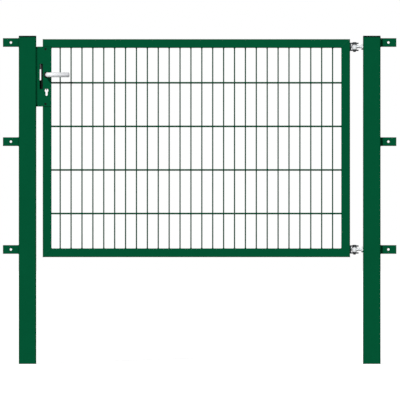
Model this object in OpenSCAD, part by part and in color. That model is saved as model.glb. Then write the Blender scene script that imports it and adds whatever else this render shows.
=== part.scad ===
// Steel garden gate: two square posts, a framed wire-mesh leaf on two
// adjustable hinges, a mortise lock behind a cover plate, and a lever handle.
// Millimetres. Z is up, the front faces -Y, and the origin is the centre of
// the hinge post's foot. The lock side is at -X.

/* [Posts] */
// Side of the square post
post_size = 80; // [60:1:120]
// Wall of the post tube
post_wall = 3; // [2:0.5:5]
// Outer corner radius of the post tube
post_corner_r = 5; // [3.5:0.5:8]
// Length of the post tube
post_height = 1500; // [1300:10:2200]
// Clear width between the posts
clear_width = 1500; // [900:10:2000]
// Thickness of the cap plate
cap_thickness = 6; // [3:0.5:10]
// Depth of the cap's skirt inside the tube
cap_skirt = 15; // [8:1:30]

/* [Leaf frame] */
// Side of the square frame tube
frame_tube = 40; // [40:1:60]
// Wall of the frame tube
frame_wall = 2; // [1.5:0.5:3]
// Outer corner radius of the frame tube
frame_corner_r = 3; // [2:0.5:5]
// Outer height of the leaf
leaf_height = 1000; // [700:10:1250]
// Leaf top below the top of the post tube
leaf_drop = 10; // [0:1:50]
// Leaf front behind the post front
leaf_setback = 3; // [3:0.5:12]
// Gap between the leaf and the latch post
lock_gap = 30; // [30:1:40]
// Gap between the leaf and the hinge post
hinge_gap = 60; // [55:1:80]

/* [Mesh] */
// Spacing of the upright wires
wire_pitch = 50; // [40:1:100]
// Diameter of the upright wires
wire_d = 6; // [4:0.5:8]
// Spacing of the pairs of cross rods
rod_pitch = 200; // [100:5:250]
// Diameter of the cross rods
rod_d = 8; // [4:0.5:8]
// Least space between a wire and the frame
mesh_edge = 30; // [25:1:50]

/* [Fence brackets] */
// Length of a bracket out from the post
bracket_length = 73; // [50:1:120]
// Height of a bracket
bracket_height = 40; // [30:1:60]
// Thickness of a bracket
bracket_t = 5; // [3:0.5:8]
// Hole for the fence bolt
bracket_hole_d = 11; // [6:0.5:14]
// Top bracket's centre below the top of the tube
bracket_top_drop = 25; // [20:1:60]
// Middle bracket's centre below the top of the tube
bracket_mid_drop = 480; // [300:1:700]
// Bottom bracket's centre below the top of the tube
bracket_low_drop = 975; // [800:1:1150]

/* [Hinges] */
// Hinge's centre from the leaf's top or bottom edge
hinge_inset = 35; // [25:1:120]
// Pin's axis from the leaf's side
pin_offset = 20.5; // [19:0.5:24]
// Diameter of the hinge pin
pin_d = 12; // [8:0.5:14]
// Overall height of the fork
fork_height = 38; // [32:1:60]
// Thickness of the fork's lugs
fork_lug_t = 6; // [4:0.5:8]
// Width of the fork, front to back
fork_width = 38; // [28:1:38]
// Thickness of the fork's web
fork_web_t = 6; // [3:0.5:7]
// Outer diameter of the eye
eye_d = 22; // [18:1:26]
// Diameter of the eye bolt's shank
shank_d = 14; // [10:1:18]
// Length of the shank inside the post
shank_tail = 25; // [10:1:40]
// Nut across its flats
nut_af = 24; // [18:1:28]
// Thickness of the nut
nut_t = 8; // [5:0.5:9]

/* [Lock] */
// Handle's axis below the leaf's top
handle_drop = 163.5; // [150:0.5:220]
// Handle's axis to the cylinder's axis
lock_distance = 72; // [60:1:92]
// Faceplate to the lock's axis
backset = 25; // [23:0.5:25]
// Thickness of the faceplate
faceplate_t = 3; // [2:0.5:4]
// Width of the faceplate
faceplate_w = 24; // [20:1:24]
// Length of the faceplate
faceplate_l = 240; // [235:1:250]
// Thickness of the pad under the faceplate
pad_t = 4.4; // [3:0.1:6]
// Thickness of the lock case, front to back
case_t = 15; // [13:0.5:16]
// Thickness of the cover plate
cover_t = 3; // [1.5:0.5:3]
// Cover plate's top below the leaf's top
cover_drop = 34; // [20:1:40]
// Height of the cover plate
cover_height = 275; // [265:1:280]
// Gap between the cover plate and the latch post
cover_gap = 5; // [5:0.5:7]
// Width of the cover plate's edge beside its slot
cover_edge = 11.5; // [6:0.5:12]
// Slot's top above the handle's axis
slot_up = 49.5; // [48:0.5:60]
// Slot's bottom below the handle's axis
slot_down = 65; // [64:1:72]
// Latch's centre above the handle's axis
latch_up = 39; // [34:1:40]
// Height of the latch
latch_h = 22; // [16:1:24]
// Thickness of the latch and the deadbolt, front to back
latch_t = 12; // [8:0.5:12]
// Latch's travel
latch_throw = 14; // [12:0.5:15]
// Deadbolt's centre above the cylinder's axis
bolt_up = 28.5; // [27:0.5:30]
// Height of the deadbolt
bolt_h = 35; // [28:1:35]

/* [Handle] */
// Diameter of the lever's grip
grip_d = 21; // [16:1:22]
// Lever's tip beyond the handle's axis
grip_reach = 104; // [80:1:130]
// Lever's rounded heel behind the handle's axis
grip_heel = 5; // [5:0.5:10]
// Grip's axis in front of the cover plate
grip_standoff = 48; // [35:1:60]
// Diameter of the lever's neck
neck_d = 13.5; // [13.5:0.5:17]
// Diameter of the rosette
rosette_d = 26; // [22:1:30]
// Thickness of the rosette
rosette_t = 6; // [3:0.5:8]
// Side of the square spindle
spindle_side = 8; // [7:0.5:9]

/* [Strike and stop] */
// Strike's depth out from the post
strike_depth = 14; // [12:0.5:16]
// Sheet of the strike
strike_t = 3; // [2:0.5:4]
// Space round the latch and deadbolt in the strike
strike_play = 2; // [1:0.5:3]
// Thickness of the stop plate
stop_t = 4; // [3:0.5:6]
// Space between the leaf's back and the stop plate
stop_gap = 5; // [5:0.5:8]
// Width of the stop plate
stop_width = 26; // [22:1:27]
// Reach of the stop plate's lugs behind the leaf
stop_lap = 15; // [10:1:18]
// Height of each lug
stop_lug_h = 38; // [20:1:40]

/* [Hidden] */
fn_round = 48;
fn_wire = 8;
skin = 1;
fit_gap = 0.1;
slack = 0.3;

post_half = post_size / 2;
post_bore = post_size - 2 * post_wall;
hinge_face_x = -post_half;
latch_face_x = hinge_face_x - clear_width;
latch_post_x = latch_face_x - post_half;

leaf_right_x = hinge_face_x - hinge_gap;
leaf_left_x = latch_face_x + lock_gap;
leaf_width = leaf_right_x - leaf_left_x;
leaf_top_z = post_height - leaf_drop;
leaf_low_z = leaf_top_z - leaf_height;
leaf_front_y = -post_half + leaf_setback;
leaf_back_y = leaf_front_y + frame_tube;
leaf_mid_y = (leaf_front_y + leaf_back_y) / 2;

mesh_left_x = leaf_left_x + frame_tube;
mesh_width = leaf_width - 2 * frame_tube;
mesh_low_z = leaf_low_z + frame_tube;
mesh_height = leaf_height - 2 * frame_tube;
wire_count = floor((mesh_width - 2 * mesh_edge) / wire_pitch) + 1;
wire_margin = (mesh_width - (wire_count - 1) * wire_pitch) / 2;
rod_count = floor((leaf_height - frame_tube - mesh_edge) / rod_pitch);
rod_offset = (wire_d + rod_d) / 2;

bracket_z = [
  post_height - bracket_top_drop,
  post_height - bracket_mid_drop,
  post_height - bracket_low_drop
];

pin_x = leaf_right_x + pin_offset;
pin_y = leaf_mid_y;
hinge_top_z = leaf_top_z - hinge_inset;
hinge_low_z = leaf_low_z + hinge_inset;
fork_inner = fork_height - 2 * fork_lug_t;
eye_height = fork_inner - 1;
eye_lift = fork_inner / 2 - slack - eye_height / 2;
pin_head_d = 18;
pin_head_t = 2.5;
pin_stub = 4.5;

// Socket screws of the cover plate and the faceplate
screw_d = 5;
screw_head_d = 9.6;
screw_head_t = 2.3;
screw_key_d = 3.4;
screw_key_depth = 1.6;
screw_hole_d = screw_d + fit_gap;
cover_screw_l = 12;
face_screw_l = 14;

handle_z = leaf_top_z - handle_drop;
cylinder_z = handle_z - lock_distance;
face_x = leaf_left_x - pad_t - faceplate_t;
lock_x = face_x + backset;
case_behind_lock = 15;
case_above_latch = 23;
case_below_cylinder = 40;
case_back_x = lock_x + case_behind_lock;
cover_left_x = latch_face_x + cover_gap;
cover_right_x = leaf_left_x + frame_tube;
cover_top_z = leaf_top_z - cover_drop;
cover_low_z = cover_top_z - cover_height;
cover_mid_z = (cover_top_z + cover_low_z) / 2;
cover_front_y = leaf_front_y - cover_t;
slot_left_x = cover_left_x + cover_edge;
slot_top_z = handle_z + slot_up;
slot_low_z = handle_z - slot_down;
latch_z = handle_z + latch_up;
bolt_z = cylinder_z + bolt_up;
case_top_z = latch_z + latch_h / 2 + case_above_latch;
case_low_z = cylinder_z - case_below_cylinder;
latch_tip_x = face_x - latch_throw;
latch_length = 33;
bolt_length = 15;
cover_screw_offset = 12.8;
cover_screw_x = leaf_left_x + cover_screw_offset;
cover_screw_inset = 11.5;
cover_screw_z = [cover_top_z - cover_screw_inset, cover_low_z + cover_screw_inset];
face_screw_inset = 8;
face_screw_z = [
  cover_mid_z + faceplate_l / 2 - face_screw_inset,
  cover_mid_z - faceplate_l / 2 + face_screw_inset
];

keyhole_r = 8.5;
keyhole_slot = 10;
keyhole_drop = 19.5;
spindle_hole_r = neck_d / 2 + 1;

strike_half = 14;
strike_margin = 5.5;
strike_right_x = latch_face_x + strike_depth;
strike_front_y = leaf_mid_y - strike_half;
strike_top_z = cover_top_z - cover_t - strike_margin;
strike_low_z = cover_low_z + cover_t + strike_margin;
stop_front_y = leaf_back_y + stop_gap;
stop_right_x = latch_face_x + stop_width;
stop_lug_x = leaf_left_x + stop_lap;
window_up = 25.5;
window_down = 24.5;
window_edge = 8;
window_left_x = latch_face_x + window_edge;

// Helpers ------------------------------------------------------------------

// A box from its low corner to its high corner.
module span(low, high) {
  translate(low)
    cube([high[0] - low[0], high[1] - low[1], high[2] - low[2]]);
}

// A square bar with rounded corners, standing on its centre.
module round_bar(side, r, h) {
  linear_extrude(height = h) {
    square([side - 2 * r, side], center = true);
    square([side, side - 2 * r], center = true);
    for (sx = [-1, 1], sy = [-1, 1])
      translate([sx * (side / 2 - r), sy * (side / 2 - r)])
        circle(r = r, $fn = fn_round);
  }
}

// A square tube with rounded corners, standing on its centre.
module round_tube(side, wall, r, h) {
  bore_r = r - wall / 2 - 0.5;
  difference() {
    round_bar(side, r, h);
    translate([0, 0, -skin])
      round_bar(side - 2 * wall, bore_r, h + 2 * skin);
  }
}

// A rod along X that starts at x0.
module rod_x(x0, y, z, d, length, sides = fn_round) {
  translate([x0, y, z])
    rotate([0, 90, 0])
      cylinder(d = d, h = length, $fn = sides);
}

// A rod along Y that starts at y0.
module rod_y(x, y0, z, d, length) {
  translate([x, y0, z])
    rotate([-90, 0, 0])
      cylinder(d = d, h = length, $fn = fn_round);
}

// The profile cylinder's hole, cut along Y from y0 to y1.
module keyhole(y0, y1) {
  rod_y(lock_x, y0, cylinder_z, 2 * keyhole_r, y1 - y0);
  rod_y(lock_x, y0, cylinder_z - keyhole_drop, keyhole_slot, y1 - y0);
  span([lock_x - keyhole_slot / 2, y0, cylinder_z - keyhole_drop],
       [lock_x + keyhole_slot / 2, y1, cylinder_z]);
}

// Posts --------------------------------------------------------------------

module post_tube() {
  round_tube(post_size, post_wall, post_corner_r, post_height);
}

module hinge_post() {
  color("#054f31")
    difference() {
      post_tube();
      for (z = [hinge_top_z, hinge_low_z])
        rod_x(-post_half - skin, pin_y, z + eye_lift, shank_d + 2 * fit_gap, post_wall + 2 * skin);
    }
}

module latch_post() {
  color("#054f31")
    translate([latch_post_x, 0, 0])
      post_tube();
}

module post_cap(x) {
  skirt = post_bore - 2 * slack;
  skirt_wall = 3;
  skirt_inner_r = 1;
  color("#11332a")
    translate([x, 0, post_height]) {
      round_bar(post_size, post_corner_r, cap_thickness);
      difference() {
        translate([0, 0, -cap_skirt])
          round_bar(skirt, post_wall, cap_skirt + skin);
        translate([0, 0, -cap_skirt - skin])
          round_bar(skirt - 2 * skirt_wall, skirt_inner_r, cap_skirt + skin);
      }
    }
}

module hinge_post_cap() {
  post_cap(0);
}

module latch_post_cap() {
  post_cap(latch_post_x);
}

// A flat lug from the outer side of a post; side is 1 at the hinge post.
module bracket(x_face, side, z) {
  x_end = x_face + side * bracket_length;
  color("#054f31")
    difference() {
      span([min(x_face, x_end), -bracket_t / 2, z - bracket_height / 2],
           [max(x_face, x_end), bracket_t / 2, z + bracket_height / 2]);
      rod_y((x_face + x_end) / 2, -bracket_t / 2 - skin, z, bracket_hole_d, bracket_t + 2 * skin);
    }
}

module hinge_post_top_bracket() {
  bracket(post_half, 1, bracket_z[0]);
}

module hinge_post_middle_bracket() {
  bracket(post_half, 1, bracket_z[1]);
}

module hinge_post_bottom_bracket() {
  bracket(post_half, 1, bracket_z[2]);
}

module latch_post_top_bracket() {
  bracket(latch_post_x - post_half, -1, bracket_z[0]);
}

module latch_post_middle_bracket() {
  bracket(latch_post_x - post_half, -1, bracket_z[1]);
}

module latch_post_bottom_bracket() {
  bracket(latch_post_x - post_half, -1, bracket_z[2]);
}

// The box on the latch post that takes the latch and the deadbolt.
module strike_box() {
  hole_front_y = leaf_mid_y - latch_t / 2 - strike_play;
  hole_back_y = leaf_mid_y + latch_t / 2 + strike_play;
  color("#054f31")
    difference() {
      span([latch_face_x, strike_front_y, strike_low_z],
           [strike_right_x, stop_front_y, strike_top_z]);
      span([latch_face_x - skin, strike_front_y + strike_t, strike_low_z + strike_t],
           [strike_right_x - strike_t, stop_front_y + skin, strike_top_z - strike_t]);
      span([strike_right_x - strike_t - skin, hole_front_y, latch_z - latch_h / 2 - strike_play],
           [strike_right_x + skin, hole_back_y, latch_z + latch_h / 2 + strike_play]);
      span([strike_right_x - strike_t - skin, hole_front_y, bolt_z - bolt_h / 2 - strike_play],
           [strike_right_x + skin, hole_back_y, bolt_z + bolt_h / 2 + strike_play]);
    }
}

// The plate that the closed leaf comes to rest against.
module stop_plate() {
  stop_back_y = stop_front_y + stop_t;
  color("#054f31")
    difference() {
      union() {
        span([latch_face_x, stop_front_y, cover_low_z],
             [stop_right_x, stop_back_y, cover_top_z]);
        span([latch_face_x, stop_front_y, cover_top_z - stop_lug_h],
             [stop_lug_x, stop_back_y, cover_top_z]);
        span([latch_face_x, stop_front_y, cover_low_z],
             [stop_lug_x, stop_back_y, cover_low_z + stop_lug_h]);
      }
      span([window_left_x, stop_front_y - skin, handle_z - window_down],
           [stop_right_x + skin, stop_back_y + skin, handle_z + window_up]);
    }
}

// Hinges -------------------------------------------------------------------

module eye_bolt(z) {
  shank_x = pin_x + eye_d / 4 + pin_d / 4;
  color("#c9ccd0")
    translate([0, 0, z + eye_lift])
      difference() {
        union() {
          translate([pin_x, pin_y, -eye_height / 2])
            cylinder(d = eye_d, h = eye_height, $fn = fn_round);
          rod_x(shank_x, pin_y, 0, shank_d, hinge_face_x + shank_tail - shank_x);
        }
        translate([pin_x, pin_y, -eye_height / 2 - skin])
          cylinder(d = pin_d + 2 * fit_gap, h = eye_height + 2 * skin, $fn = fn_round);
      }
}

module upper_eye_bolt() {
  eye_bolt(hinge_top_z);
}

module lower_eye_bolt() {
  eye_bolt(hinge_low_z);
}

module eye_bolt_nut(z) {
  color("#c9ccd0")
    difference() {
      rod_x(hinge_face_x - nut_t, pin_y, z + eye_lift, nut_af / cos(30), nut_t, 6);
      rod_x(hinge_face_x - nut_t - skin, pin_y, z + eye_lift, shank_d + fit_gap, nut_t + 2 * skin);
    }
}

module upper_eye_bolt_nut() {
  eye_bolt_nut(hinge_top_z);
}

module lower_eye_bolt_nut() {
  eye_bolt_nut(hinge_low_z);
}

module hinge_lug(z) {
  translate([0, 0, z]) {
    span([leaf_right_x, pin_y - fork_width / 2, 0],
         [pin_x, pin_y + fork_width / 2, fork_lug_t]);
    translate([pin_x, pin_y, 0])
      cylinder(d = fork_width, h = fork_lug_t, $fn = fn_round);
  }
}

module hinge_fork(z) {
  color("#c9ccd0")
    difference() {
      union() {
        hinge_lug(z - fork_height / 2);
        hinge_lug(z + fork_height / 2 - fork_lug_t);
        span([leaf_right_x, pin_y - fork_width / 2, z - fork_height / 2],
             [leaf_right_x + fork_web_t, pin_y + fork_width / 2, z + fork_height / 2]);
      }
      translate([pin_x, pin_y, z - fork_height / 2 - skin])
        cylinder(d = pin_d + fit_gap, h = fork_height + 2 * skin, $fn = fn_round);
    }
}

module upper_hinge_fork() {
  hinge_fork(hinge_top_z);
}

module lower_hinge_fork() {
  hinge_fork(hinge_low_z);
}

module hinge_pin(z) {
  color("#b4b8bc")
    translate([pin_x, pin_y, z]) {
      translate([0, 0, -fork_height / 2 - pin_stub])
        cylinder(d = pin_d, h = fork_height + pin_stub + pin_head_t / 2, $fn = fn_round);
      translate([0, 0, fork_height / 2])
        cylinder(d = pin_head_d, h = pin_head_t, $fn = fn_round);
    }
}

module upper_hinge_pin() {
  hinge_pin(hinge_top_z);
}

module lower_hinge_pin() {
  hinge_pin(hinge_low_z);
}

// Leaf frame ---------------------------------------------------------------

// A frame tube along X whose centre is at height z.
module rail_tube(z) {
  translate([leaf_left_x, leaf_mid_y, z])
    rotate([0, 90, 0])
      round_tube(frame_tube, frame_wall, frame_corner_r, leaf_width);
}

// A frame tube along Z whose centre is at x.
module stile_tube(x) {
  translate([x, leaf_mid_y, leaf_low_z])
    round_tube(frame_tube, frame_wall, frame_corner_r, leaf_height);
}

// A prism across the leaf's depth with the given outline in X and Z.
module mitre(points) {
  translate([0, leaf_back_y + skin, 0])
    rotate([90, 0, 0])
      linear_extrude(height = frame_tube + 2 * skin)
        polygon(points);
}

module top_rail() {
  color("#044e31")
    intersection() {
      rail_tube(leaf_top_z - frame_tube / 2);
      mitre([
        [leaf_left_x, leaf_top_z],
        [leaf_left_x + frame_tube, leaf_top_z - frame_tube],
        [leaf_right_x - frame_tube, leaf_top_z - frame_tube],
        [leaf_right_x, leaf_top_z]
      ]);
    }
}

module bottom_rail() {
  color("#044e31")
    intersection() {
      rail_tube(leaf_low_z + frame_tube / 2);
      mitre([
        [leaf_left_x, leaf_low_z],
        [leaf_right_x, leaf_low_z],
        [leaf_right_x - frame_tube, leaf_low_z + frame_tube],
        [leaf_left_x + frame_tube, leaf_low_z + frame_tube]
      ]);
    }
}

module hinge_stile() {
  color("#044e31")
    intersection() {
      stile_tube(leaf_right_x - frame_tube / 2);
      mitre([
        [leaf_right_x, leaf_low_z],
        [leaf_right_x, leaf_top_z],
        [leaf_right_x - frame_tube, leaf_top_z - frame_tube],
        [leaf_right_x - frame_tube, leaf_low_z + frame_tube]
      ]);
    }
}

module lock_stile() {
  color("#044e31")
    difference() {
      intersection() {
        stile_tube(leaf_left_x + frame_tube / 2);
        mitre([
          [leaf_left_x, leaf_low_z],
          [leaf_left_x + frame_tube, leaf_low_z + frame_tube],
          [leaf_left_x + frame_tube, leaf_top_z - frame_tube],
          [leaf_left_x, leaf_top_z]
        ]);
      }
      keyhole(leaf_front_y - skin, leaf_back_y + skin);
      rod_y(lock_x, leaf_front_y - skin, handle_z, 2 * spindle_hole_r, frame_tube + 2 * skin);
      case_cut();
      for (z = cover_screw_z)
        rod_y(cover_screw_x, leaf_front_y - skin, z, screw_hole_d, frame_wall + 2 * skin);
      for (z = face_screw_z)
        rod_x(leaf_left_x - skin, leaf_mid_y, z, screw_hole_d, frame_wall + 2 * skin);
    }
}

// Mesh ---------------------------------------------------------------------

// One bar of the mesh with a flat side to the front and the back, along +Z from the origin.
module mesh_bar(d, length) {
  rotate([0, 0, 180 / fn_wire])
    cylinder(d = d / cos(180 / fn_wire), h = length, $fn = fn_wire);
}

module mesh_wires() {
  color("#0a5537")
    for (i = [0 : wire_count - 1])
      translate([mesh_left_x + wire_margin + i * wire_pitch, leaf_mid_y, mesh_low_z])
        mesh_bar(wire_d, mesh_height);
}

module mesh_rods() {
  color("#0a5537")
    for (k = [1 : rod_count], side = [-1, 1])
      translate([mesh_left_x, leaf_mid_y + side * rod_offset, leaf_low_z + k * rod_pitch])
        rotate([0, 90, 0])
          mesh_bar(rod_d, mesh_width);
}

// Lock ---------------------------------------------------------------------

// The cut that lets the lock case into the stile.
module case_cut() {
  span([leaf_left_x - pad_t - skin, leaf_mid_y - case_t / 2 - slack, case_low_z - slack],
       [leaf_left_x + frame_wall + skin, leaf_mid_y + case_t / 2 + slack, case_top_z + slack]);
}

// A countersunk screw along +X whose head is flush at x.
module screw_x(x, y, z, length) {
  translate([x, y, z])
    rotate([0, 90, 0])
      difference() {
        union() {
          cylinder(d1 = screw_head_d, d2 = screw_d, h = screw_head_t, $fn = fn_round);
          cylinder(d = screw_d, h = length, $fn = fn_round);
        }
        translate([0, 0, -skin])
          cylinder(d = screw_key_d, h = screw_key_depth + skin, $fn = 6);
      }
}

// The cone that a countersunk head sits in.
module sink_x(x, y, z) {
  translate([x, y, z])
    rotate([0, 90, 0]) {
      cylinder(d1 = screw_head_d + fit_gap, d2 = screw_hole_d, h = screw_head_t, $fn = fn_round);
      cylinder(d = screw_hole_d, h = cover_screw_l, $fn = fn_round);
      translate([0, 0, -skin])
        cylinder(d = screw_head_d + fit_gap, h = skin, $fn = fn_round);
    }
}

module lock_cover() {
  color("#054f31")
    difference() {
      union() {
        span([cover_left_x, cover_front_y, cover_low_z],
             [cover_right_x, leaf_front_y, cover_top_z]);
        span([cover_left_x, cover_front_y, cover_top_z - cover_t],
             [leaf_left_x, leaf_back_y, cover_top_z]);
        span([cover_left_x, cover_front_y, cover_low_z],
             [leaf_left_x, leaf_back_y, cover_low_z + cover_t]);
      }
      span([slot_left_x, cover_front_y - skin, slot_low_z],
           [leaf_left_x, leaf_front_y + skin, slot_top_z]);
      keyhole(cover_front_y - skin, leaf_front_y + skin);
      rod_y(lock_x, cover_front_y - skin, handle_z, 2 * spindle_hole_r, cover_t + 2 * skin);
      for (z = cover_screw_z)
        translate([cover_screw_x, cover_front_y, z])
          rotate([0, 0, 90])
            sink_x(0, 0, 0);
    }
}

module cover_screws() {
  color("#1d2422")
    for (z = cover_screw_z)
      translate([cover_screw_x, cover_front_y, z])
        rotate([0, 0, 90])
          screw_x(0, 0, 0, cover_screw_l);
}

module lock_pad() {
  side_rim = 2;
  end_rim = 2.5;
  pad_w = faceplate_w + 2 * side_rim;
  pad_l = faceplate_l + 2 * end_rim;
  color("#15191a")
    difference() {
      span([leaf_left_x - pad_t, leaf_mid_y - pad_w / 2, cover_mid_z - pad_l / 2],
           [leaf_left_x, leaf_mid_y + pad_w / 2, cover_mid_z + pad_l / 2]);
      case_cut();
      for (z = face_screw_z)
        rod_x(leaf_left_x - pad_t - skin, leaf_mid_y, z, screw_hole_d, pad_t + 2 * skin);
    }
}

module lock_faceplate() {
  color("#1d2422")
    difference() {
      span([face_x, leaf_mid_y - faceplate_w / 2, cover_mid_z - faceplate_l / 2],
           [face_x + faceplate_t, leaf_mid_y + faceplate_w / 2, cover_mid_z + faceplate_l / 2]);
      bolt_cut(latch_z, latch_h, 0);
      bolt_cut(bolt_z, bolt_h, 0);
      for (z = face_screw_z)
        sink_x(face_x, leaf_mid_y, z);
    }
}

module faceplate_screws() {
  color("#1d2422")
    for (z = face_screw_z)
      screw_x(face_x, leaf_mid_y, z, face_screw_l);
}

// The cut for a bolt of height h at z, through the faceplate and on by deep.
module bolt_cut(z, h, deep) {
  half_t = latch_t / 2 + slack;
  half_h = h / 2 + slack;
  span([face_x - skin, leaf_mid_y - half_t, z - half_h],
       [face_x + faceplate_t + deep + skin, leaf_mid_y + half_t, z + half_h]);
}

module lock_case() {
  front_y = leaf_mid_y - case_t / 2;
  back_y = leaf_mid_y + case_t / 2;
  follower_hole_d = 13;
  finger_w = 5.5;
  finger_h = 8;
  finger_tip = 2;
  finger_neck = 2;
  finger_inset = 2;
  color("#8e9296") {
    difference() {
      span([face_x + faceplate_t, front_y, case_low_z], [case_back_x, back_y, case_top_z]);
      keyhole(front_y - skin, back_y + skin);
      rod_y(lock_x, front_y - skin, handle_z, follower_hole_d, case_t + 2 * skin);
      bolt_cut(latch_z, latch_h, latch_length);
      bolt_cut(bolt_z, bolt_h, bolt_length - faceplate_t - skin);
    }
    translate([lock_x, back_y - finger_inset, cylinder_z + keyhole_r])
      rotate([90, 0, 0])
        linear_extrude(height = case_t - 2 * finger_inset)
          polygon([
            [-finger_w / 2, skin], [-finger_w / 2, -finger_neck], [-finger_tip / 2, -finger_h],
            [finger_tip / 2, -finger_h], [finger_w / 2, -finger_neck], [finger_w / 2, skin]
          ]);
  }
}

module deadbolt() {
  color("#b9bcbf")
    span([face_x, leaf_mid_y - latch_t / 2, bolt_z - bolt_h / 2],
         [face_x + bolt_length - slack, leaf_mid_y + latch_t / 2, bolt_z + bolt_h / 2]);
}

module latch_bolt() {
  tail_x = latch_tip_x + latch_length;
  front_y = leaf_mid_y - latch_t / 2;
  back_y = leaf_mid_y + latch_t / 2;
  nose = 2;
  color("#b9bcbf")
    translate([0, 0, latch_z - latch_h / 2])
      linear_extrude(height = latch_h)
        polygon([
          [tail_x, back_y], [tail_x, front_y],
          [latch_tip_x, front_y], [latch_tip_x, front_y + nose],
          [latch_tip_x + latch_throw - nose, back_y]
        ]);
}

// Handle -------------------------------------------------------------------

module rosette(y0, hole_d) {
  color("#15191a")
    difference() {
      rod_y(lock_x, y0, handle_z, rosette_d, rosette_t);
      rod_y(lock_x, y0 - skin, handle_z, hole_d, rosette_t + 2 * skin);
    }
}

module front_rosette() {
  rosette(cover_front_y - rosette_t, neck_d + 2 * fit_gap);
}

module back_rosette() {
  rosette(leaf_back_y, neck_d + 2 * fit_gap);
}

// A round grip along +X with a blunt heel and tip.
module grip() {
  r = grip_d / 2;
  heel_rise = 9;
  tip_rise = 4;
  step = 15;
  steps = [step : step : 90];
  heel = [for (a = steps) [r * sin(a), -grip_heel + heel_rise * (1 - cos(a))]];
  tip = [for (a = steps) [r * cos(a - step), grip_reach - tip_rise * (1 - sin(a - step))]];
  rotate([0, 90, 0])
    rotate_extrude($fn = fn_round)
      polygon(concat([[0, -grip_heel]], heel, tip, [[0, grip_reach]]));
}

// A lever along +X with its grip's axis at y = 0 and its neck along +Y.
module lever(neck_length) {
  socket = spindle_side + 2 * fit_gap;
  color("#d9dbdd")
    difference() {
      union() {
        grip();
        rod_y(0, 0, 0, neck_d, neck_length);
      }
      translate([-socket / 2, grip_d / 2, -socket / 2])
        cube([socket, neck_length, socket]);
    }
}

module front_lever() {
  translate([lock_x, cover_front_y - grip_standoff, handle_z])
    lever(grip_standoff - skin);
}

module back_lever() {
  translate([lock_x, leaf_back_y + grip_standoff, handle_z])
    mirror([0, 1, 0])
      lever(grip_standoff - skin);
}

module spindle() {
  half = spindle_side / 2;
  inset = grip_standoff - grip_d / 2 - slack;
  color("#8e9296")
    span([lock_x - half, cover_front_y - inset, handle_z - half],
         [lock_x + half, leaf_back_y + inset, handle_z + half]);
}

hinge_post();
latch_post();
hinge_post_cap();
latch_post_cap();
hinge_post_top_bracket();
hinge_post_middle_bracket();
hinge_post_bottom_bracket();
latch_post_top_bracket();
latch_post_middle_bracket();
latch_post_bottom_bracket();
strike_box();
stop_plate();
upper_eye_bolt();
lower_eye_bolt();
upper_eye_bolt_nut();
lower_eye_bolt_nut();
top_rail();
bottom_rail();
lock_stile();
hinge_stile();
mesh_wires();
mesh_rods();
upper_hinge_fork();
lower_hinge_fork();
upper_hinge_pin();
lower_hinge_pin();
lock_cover();
cover_screws();
lock_pad();
lock_faceplate();
faceplate_screws();
lock_case();
deadbolt();
front_rosette();
back_rosette();
front_lever();
back_lever();
spindle();
latch_bolt();
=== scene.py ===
"""Finishes the steel garden gate and puts a plain studio round it.

Adds paint, zinc, welds, threads, wires and levers. Metres. Z is up, the front faces -Y, the
origin is the centre of the hinge post's foot and the lock side is at -X.
"""

import math

import bmesh
import bpy
from bpy.props import BoolProperty, FloatProperty, FloatVectorProperty, IntProperty, PointerProperty
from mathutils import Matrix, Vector, noise


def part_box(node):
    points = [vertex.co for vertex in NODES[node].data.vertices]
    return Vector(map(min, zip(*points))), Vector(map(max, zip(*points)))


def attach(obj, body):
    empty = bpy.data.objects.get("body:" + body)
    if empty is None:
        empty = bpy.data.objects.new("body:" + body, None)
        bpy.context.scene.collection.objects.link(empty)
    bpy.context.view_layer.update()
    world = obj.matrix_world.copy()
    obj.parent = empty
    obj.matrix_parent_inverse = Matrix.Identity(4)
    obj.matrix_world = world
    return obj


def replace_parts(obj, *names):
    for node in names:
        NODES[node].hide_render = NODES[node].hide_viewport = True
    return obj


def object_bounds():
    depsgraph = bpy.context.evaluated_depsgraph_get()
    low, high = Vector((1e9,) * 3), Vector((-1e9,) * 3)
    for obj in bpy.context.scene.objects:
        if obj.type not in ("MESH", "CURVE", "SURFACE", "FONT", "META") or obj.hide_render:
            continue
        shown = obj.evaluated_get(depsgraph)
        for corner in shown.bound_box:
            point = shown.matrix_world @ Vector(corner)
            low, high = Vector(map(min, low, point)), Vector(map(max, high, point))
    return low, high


bl_info = {
    "name": "Steel Garden Gate",
    "version": (1, 0, 0),
    "blender": (4, 5, 0),
    "location": "3D View > Sidebar > Gate",
    "description": "Adds welds, threads, wires, levers and finishes to the gate, and a studio",
    "category": "Object",
}

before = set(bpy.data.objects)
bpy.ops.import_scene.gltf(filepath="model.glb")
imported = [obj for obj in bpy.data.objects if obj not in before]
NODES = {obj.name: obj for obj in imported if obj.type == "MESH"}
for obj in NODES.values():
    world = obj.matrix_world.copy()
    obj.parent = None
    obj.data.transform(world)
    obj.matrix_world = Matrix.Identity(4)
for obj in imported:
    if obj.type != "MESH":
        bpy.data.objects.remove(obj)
cad_low, cad_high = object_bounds()

X = Vector((1, 0, 0))
Y = Vector((0, 1, 0))
Z = Vector((0, 0, 1))
MERGE = 1e-7  # Points nearer than this become one.
BEAD_SIDES = 8
DUST = (0.22, 0.21, 0.17)
CORNER_PAINTED_SHADE = (0.0, 0.004, 0.001)  # Painted shade where the coat turns a corner.
UNDERSIDE_PAINTED_SHADE = (0.035, 0.033, 0.034)  # Painted shade on zinc faces that look down.
POLISHED = (0.85, 0.86, 0.87)
SCRATCH = (0.18, 0.18, 0.19)
BARE_STEEL = (0.20, 0.21, 0.21)

BRACKETS = [
    f"{post}_{level}_bracket"
    for post in ("hinge_post", "latch_post")
    for level in ("top", "middle", "bottom")
]
HINGES = ("upper", "lower")
LAMP_AWAY = 6
LEVER_REACH = 0.058  # From the front of the levers back to the front of the posts.


# Properties -----------------------------------------------------------------


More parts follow.
